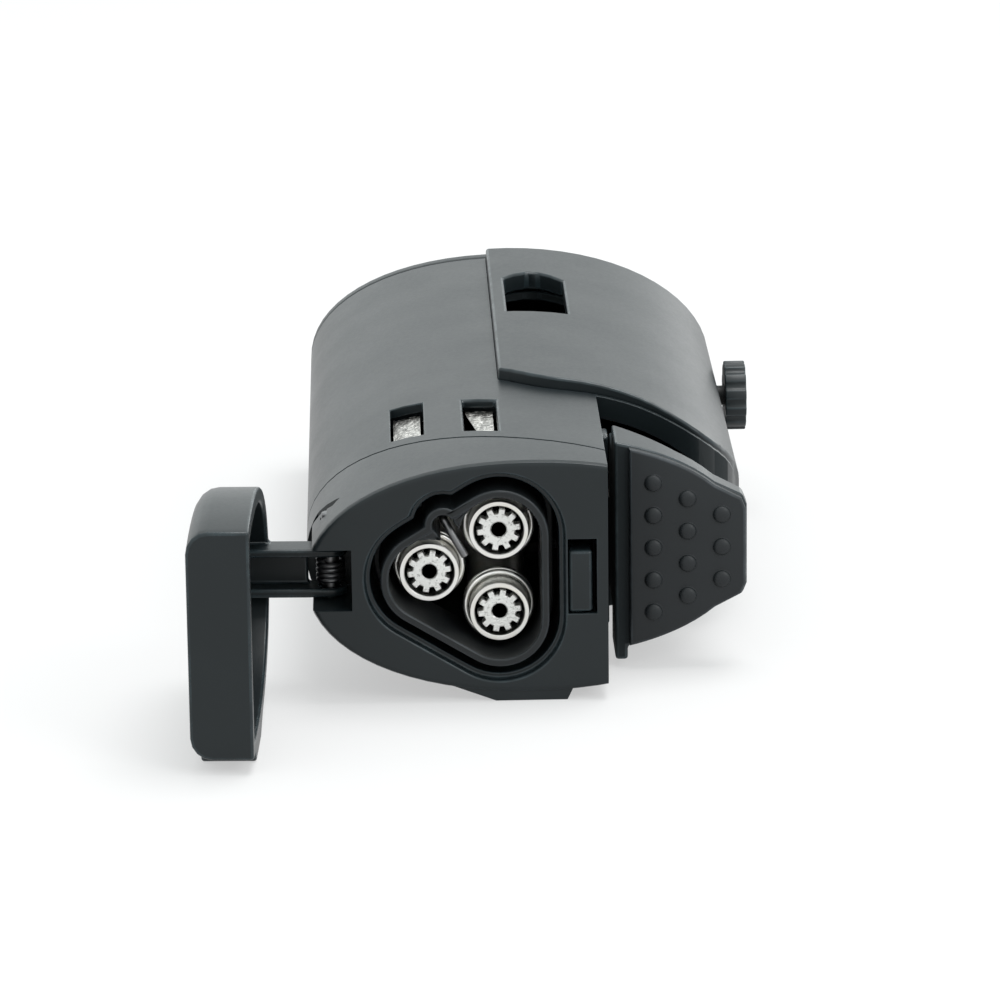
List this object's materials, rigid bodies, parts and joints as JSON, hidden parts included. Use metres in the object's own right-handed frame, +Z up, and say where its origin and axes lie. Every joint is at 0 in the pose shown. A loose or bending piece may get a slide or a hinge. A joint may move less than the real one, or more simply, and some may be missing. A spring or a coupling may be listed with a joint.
{
  "type": "piezo torch lighter",
  "caption": "Pocket torch lighter with three jet burners, a side thumb trigger, a flip-up lid and a windowed cover, lying on its back with the lid open.",
  "frame": {"origin": "centre of the whole object's bounding box, on the surface that it lies on, with the lid open", "axes": "+X across, towards the trigger; +Y along the lighter, towards its base; +Z up, towards the face with the air windows"},
  "size_m": [0.0492, 0.0907, 0.0215],
  "materials": {
    "casing": "satin charcoal",
    "cover": "satin charcoal",
    "guard": "satin dark grey",
    "grip": "matte charcoal",
    "dark_plastic": "matte black",
    "rubber": "matte",
    "steel": "satin",
    "dark_steel": "blackened",
    "bright_steel": "bright",
    "sinter": "matte sintered",
    "screen": "crumpled silver",
    "brass": "satin",
    "ceramic": "matte ceramic",
    "smoked": "smoked translucent"
  },
  "bodies": {
    "casing": {"body_shell": "casing", "front_cover": "cover", "head_collar": "casing", "base_plate": "casing", "base_screw_left": "steel", "base_screw_right": "steel", "air_screen_left": "screen", "air_screen_right": "screen", "burner_guard": "guard", "burner_block": "steel", "burner_tube_left": "bright_steel", "flame_disc_left": "sinter", "burner_coil_left": "bright_steel", "burner_tube_back": "bright_steel", "flame_disc_back": "sinter", "burner_coil_back": "bright_steel", "burner_tube_front": "bright_steel", "flame_disc_front": "sinter", "burner_coil_front": "bright_steel", "electrode": "dark_steel", "electrode_insulator": "ceramic", "fuel_tank": "smoked", "gas_valve": "brass", "gas_hose": "rubber", "valve_bracket": "steel", "lever_pin": "steel", "refill_valve": "brass", "piezo_case": "dark_plastic", "ignition_lead": "rubber", "trigger_spring": "steel", "flame_regulator": "brass", "hinge_pin": "dark_steel", "lid_spring": "dark_steel"},
    "lid": {"lid_shell": "casing", "lid_liner": "rubber"},
    "trigger": {"trigger": "casing", "trigger_pad": "grip", "piezo_plunger": "dark_plastic"},
    "latch": {"latch": "casing"},
    "valve_lever": {"valve_lever": "steel"},
    "valve_stem": {"valve_stem": "brass"},
    "adjuster": {"adjuster_knob": "cover", "adjuster_stem": "brass"},
    "refill_stem": {"refill_stem": "steel"}
  },
  "joints": [
    {"name": "lid_hinge", "type": "hinge", "parent": "casing", "child": "lid", "pos_m": [-0.01333, -0.02268, 0.01065], "axis": [0, 0, 1], "range_deg": [0, 92.5], "stiffness_Nm_per_rad": 0.002, "springref_deg": -34.38},
    {"name": "trigger_slide", "type": "slide", "parent": "casing", "child": "trigger", "axis": [0, 1, 0], "range_m": [0, 0.003], "stiffness_N_per_m": 600, "springref_m": -0.004, "deforming": ["trigger_spring"]},
    {"name": "latch_slide", "type": "slide", "parent": "casing", "child": "latch", "axis": [0, 1, 0], "range_m": [0, 0.0012]},
    {"name": "valve_lever_pivot", "type": "hinge", "parent": "casing", "child": "valve_lever", "pos_m": [0.00417, 0.00192, 0.01065], "axis": [0, 0, 1], "range_deg": [0, 23]},
    {"name": "valve_stem_slide", "type": "slide", "parent": "casing", "child": "valve_stem", "axis": [0, -1, 0], "range_m": [0, 0.0018]},
    {"name": "adjuster_turn", "type": "hinge", "parent": "casing", "child": "adjuster", "pos_m": [0.02317, 0.02922, 0.01065], "axis": [1, 0, 0], "range_deg": [-135, 135]},
    {"name": "refill_slide", "type": "slide", "parent": "casing", "child": "refill_stem", "axis": [0, -1, 0], "range_m": [0, 0.0015], "stiffness_N_per_m": 300, "springref_m": -0.002}
  ],
  "couplings": [
    {"joint": "latch_slide", "follows": "trigger_slide", "ratio": 0.4},
    {"joint": "valve_lever_pivot", "follows": "trigger_slide", "rad_per_m": 128},
    {"joint": "valve_stem_slide", "follows": "trigger_slide", "ratio": 0.6}
  ]
}
